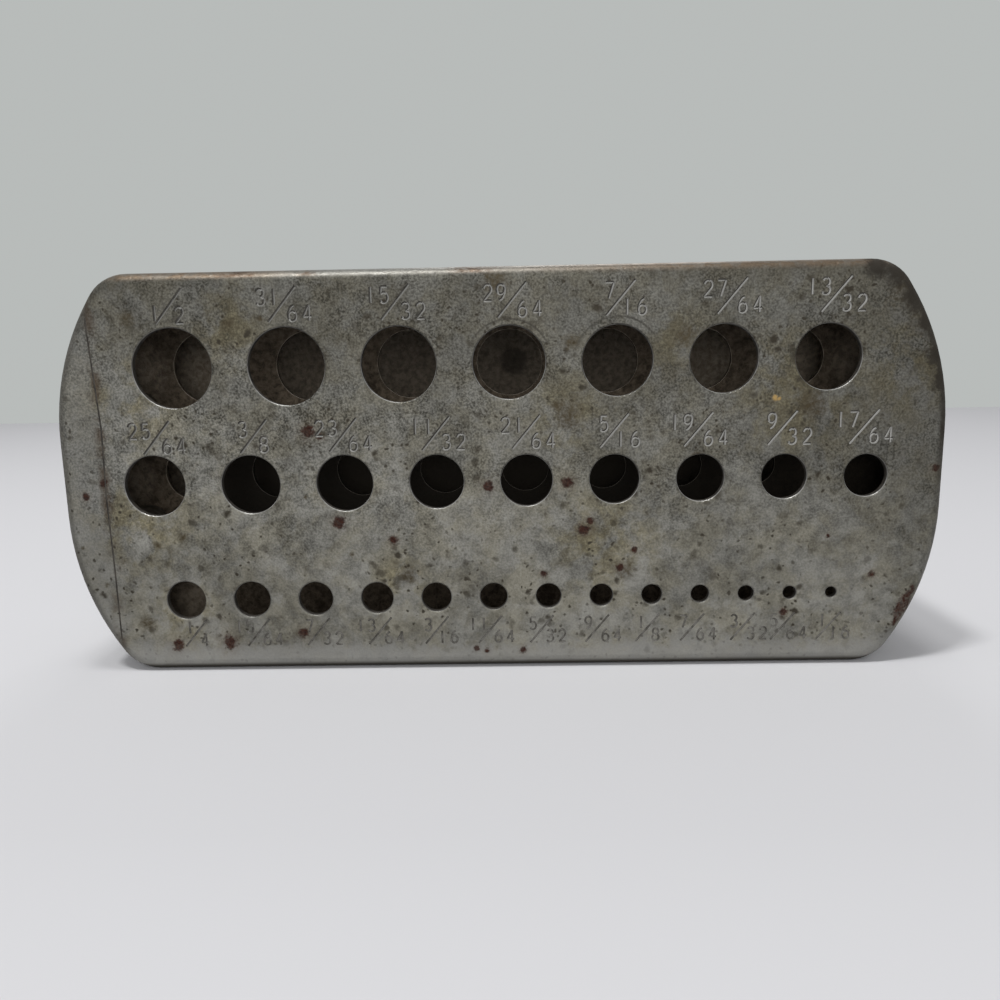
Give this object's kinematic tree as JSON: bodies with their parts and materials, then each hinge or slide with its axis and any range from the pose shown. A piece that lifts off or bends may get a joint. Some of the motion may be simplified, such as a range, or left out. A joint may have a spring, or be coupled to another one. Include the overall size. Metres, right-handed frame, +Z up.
{
  "type": "drill bit index",
  "caption": "Flat steel stand with rounded ends whose face has rows of graded holes that hold drill bits in order of size, over a guide plate and a base plate.",
  "frame": {"origin": "centre of the long wall that it stands on in the picture, midway between the face and the back", "axes": "+X along the rows of holes, from the largest bit of a row to the smallest; +Y from the face to the base plate; +Z up, as it stands in the picture"},
  "size_m": [0.146, 0.0318, 0.0667],
  "materials": {
    "face_steel": "bare sheet steel with a dull grey patina, pits and rust spots",
    "inner_steel": "bare sheet steel, brown with rust",
    "base_steel": "bare sheet steel, dull grey with brown stains",
    "turned_steel": "turned steel, dulled",
    "screw_steel": "plain steel screws, dulled"
  },
  "bodies": {
    "root": {"face_shell": "face_steel", "side_wall": "face_steel", "guide_plate": "inner_steel", "base_plate": "base_steel", "stud_upper_left": "turned_steel", "stud_upper_right": "turned_steel", "stud_lower_left": "turned_steel", "stud_lower_right": "turned_steel", "spacer_upper_left": "turned_steel", "spacer_upper_right": "turned_steel", "spacer_lower_left": "turned_steel", "spacer_lower_right": "turned_steel", "screw_upper_left": "screw_steel", "screw_upper_right": "screw_steel", "screw_lower_left": "screw_steel", "screw_lower_right": "screw_steel"}
  },
  "joints": []
}
